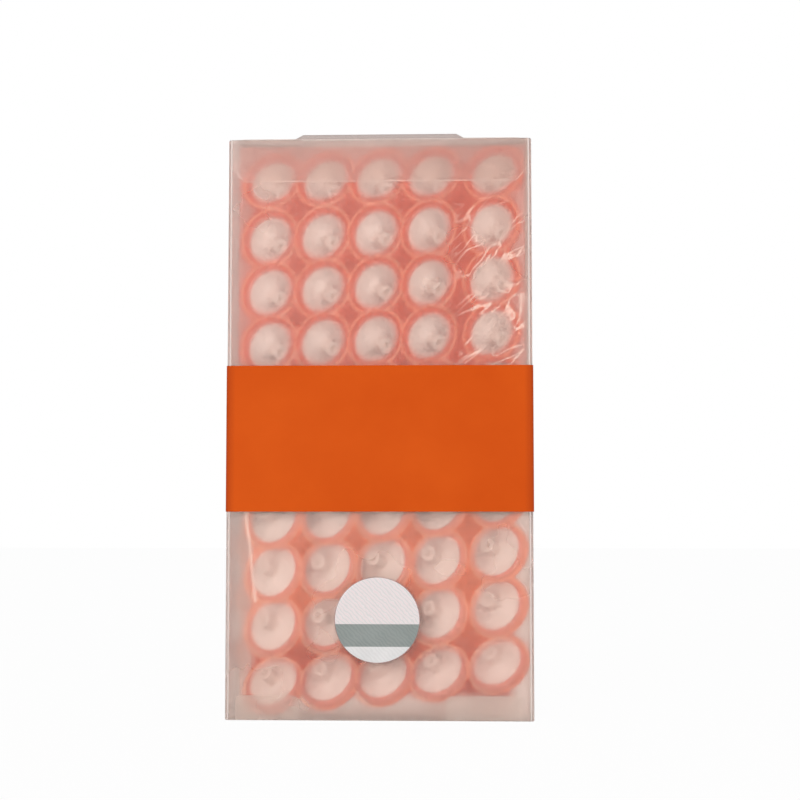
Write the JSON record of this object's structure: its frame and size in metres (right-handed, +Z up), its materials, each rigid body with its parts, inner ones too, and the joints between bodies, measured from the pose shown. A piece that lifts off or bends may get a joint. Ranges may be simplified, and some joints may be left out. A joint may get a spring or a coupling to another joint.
{
  "type": "box of syringe filters",
  "caption": "Tall frosted flip-top box folded from plastic sheet, with an orange waist band and a round seal, holding coral-ringed syringe filters in film bags.",
  "frame": {"origin": "middle of the box's base, on the surface it stands on", "axes": "+Z up to the lid, the front wall with the seal faces -Y, +X to the right seen from the front"},
  "size_m": [0.161, 0.0598, 0.3068],
  "materials": {
    "frosted_sheet": "satin",
    "orange_card": "satin",
    "seal_label": "gloss",
    "clear_film": "gloss",
    "filter_housing": "satin",
    "filter_ring": "satin"
  },
  "bodies": {
    "box": {"box_body": "frosted_sheet", "waist_band": "orange_card", "round_seal": "seal_label", "front_upper_bag": "clear_film", "front_lower_bag": "clear_film", "rear_upper_bag": "clear_film", "rear_lower_bag": "clear_film", "filter_column_1": "filter_housing", "rear_filter_column_5": "filter_housing", "filter_column_2": "filter_housing", "rear_filter_column_4": "filter_housing", "filter_column_3": "filter_housing", "rear_filter_column_3": "filter_housing", "filter_column_4": "filter_housing", "rear_filter_column_2": "filter_housing", "filter_column_5": "filter_housing", "rear_filter_column_1": "filter_housing"},
    "lid": {"lid": "frosted_sheet"},
    "flap": {"tuck_flap": "frosted_sheet"}
  },
  "joints": [
    {"name": "lid_hinge", "type": "hinge", "parent": "box", "child": "lid", "pos_m": [0, 0.02941, 0.30443], "axis": [-1, 0, 0], "range_deg": [0, 100]},
    {"name": "flap_fold", "type": "hinge", "parent": "lid", "child": "flap", "pos_m": [0, -0.02791, 0.30393], "axis": [-1, 0, 0], "range_deg": [-80, 0]}
  ],
  "couplings": [
    {"joint": "flap_fold", "follows": "lid_hinge", "ratio": -0.8}
  ]
}
